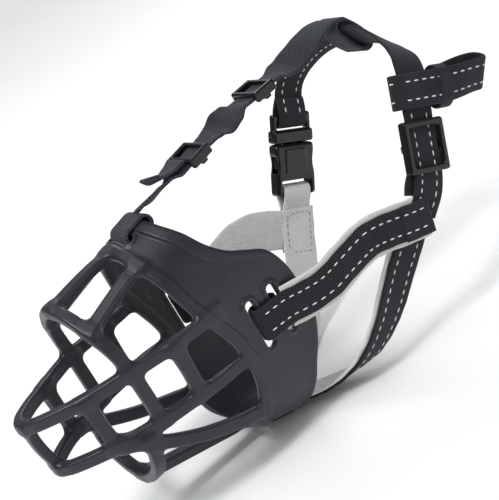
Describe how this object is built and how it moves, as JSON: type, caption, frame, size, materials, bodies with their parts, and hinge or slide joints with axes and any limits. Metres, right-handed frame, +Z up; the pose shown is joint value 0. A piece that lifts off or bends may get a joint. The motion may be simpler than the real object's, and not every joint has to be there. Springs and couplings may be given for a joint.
{
  "type": "dog basket muzzle",
  "caption": "Moulded soft basket muzzle with wide slotted rear collar, lined webbing harness, forehead strap, slides, side-release buckle and a loop for a dog collar.",
  "frame": {"origin": "on the muzzle's left-right centre plane, 3.8 mm nearer the nose than the midpoint of the front and rear cheek slots, and 1.5 mm above the height of the slots' centres", "axes": "+Z up, -Y towards the nose end of the basket, +Y towards the back of the head, +X towards the wearer's left; the basket mirrors across X, the harness does not because its buckle is on the right and its collar loop on the left"},
  "size_m": [0.1065, 0.2481, 0.1339],
  "materials": {
    "moulded_rubber": "matte, soft moulded surface",
    "webbing": "woven black nylon webbing with pale stitching",
    "lining": "soft pale padding fabric",
    "hardware": "moulded acetal, slight gloss"
  },
  "bodies": {
    "basket_body": {"basket": "moulded_rubber", "chin_anchor_loop": "webbing", "forehead_anchor_loop": "webbing"},
    "harness": {"cheek_strap_left": "webbing", "cheek_strap_right": "webbing", "cheek_lining_left": "lining", "cheek_lining_right": "lining", "chin_strap_left": "webbing", "chin_strap_right": "webbing", "chin_lining_left": "lining", "chin_lining_right": "lining", "junction_patch_left": "webbing", "junction_patch_right": "webbing", "neck_strap_left": "webbing", "neck_strap_right": "webbing", "forehead_strap_lower": "webbing", "forehead_strap_upper": "webbing", "socket_loop": "webbing", "buckle_socket": "hardware"},
    "neck_adjuster": {"neck_slide": "hardware"},
    "lower_adjuster": {"forehead_slide_lower": "hardware", "forehead_strap_tail": "webbing"},
    "upper_adjuster": {"forehead_slide_upper": "hardware"},
    "crown_slider": {"crown_loop": "webbing"},
    "collar_tab": {"collar_loop": "webbing"},
    "tab_keeper": {"collar_loop_keeper": "webbing"},
    "plug": {"buckle_plug": "hardware", "plug_bight": "webbing"},
    "prong_front": {"buckle_prong_front": "hardware"},
    "prong_rear": {"buckle_prong_rear": "hardware"}
  },
  "joints": [
    {"name": "harness_tilt", "type": "hinge", "parent": "basket_body", "child": "harness", "pos_m": [0, 0.0038, -0.0015], "axis": [1, 0, 0], "range_deg": [-6, 6], "stiffness_Nm_per_rad": 0.8, "deforming": ["chin_strap_left", "chin_strap_right", "chin_lining_left", "chin_lining_right", "forehead_strap_lower"]},
    {"name": "neck_slide_adjust", "type": "slide", "parent": "harness", "child": "neck_adjuster", "axis": [-0.0998, 0.4192, 0.9024], "range_m": [-0.003, 0.004]},
    {"name": "forehead_slide_lower_adjust", "type": "slide", "parent": "harness", "child": "lower_adjuster", "axis": [0, 0.9867, 0.1625], "range_m": [-0.003, 0.004]},
    {"name": "forehead_slide_upper_adjust", "type": "slide", "parent": "harness", "child": "upper_adjuster", "axis": [0, 0.9983, 0.0581], "range_m": [-0.004, 0.004]},
    {"name": "crown_loop_shift", "type": "slide", "parent": "harness", "child": "crown_slider", "axis": [1, 0, 0], "range_m": [-0.003, 0.003], "deforming": ["forehead_strap_upper"]},
    {"name": "collar_loop_swing", "type": "hinge", "parent": "harness", "child": "collar_tab", "pos_m": [0.0476, 0.10856, 0.04066], "axis": [-0.0998, 0.4192, 0.9024], "range_deg": [-12, 12]},
    {"name": "keeper_slide", "type": "slide", "parent": "collar_tab", "child": "tab_keeper", "axis": [0.0074, 0.9072, -0.4206], "range_m": [-0.001, 0.012], "stiffness_N_per_m": 25},
    {"name": "buckle_release", "type": "slide", "parent": "harness", "child": "plug", "axis": [0.068, 0.4569, 0.8869], "range_m": [0, 0.022], "deforming": ["neck_strap_right"]},
    {"name": "prong_front_flex", "type": "hinge", "parent": "plug", "child": "prong_front", "pos_m": [-0.04615, 0.10212, 0.02119], "axis": [-0.9977, 0.0311, 0.0604], "range_deg": [-4.5, 0]},
    {"name": "prong_rear_flex", "type": "hinge", "parent": "plug", "child": "prong_rear", "pos_m": [-0.04615, 0.09074, 0.02705], "axis": [-0.9977, 0.0311, 0.0604], "range_deg": [0, 4.5]}
  ]
}
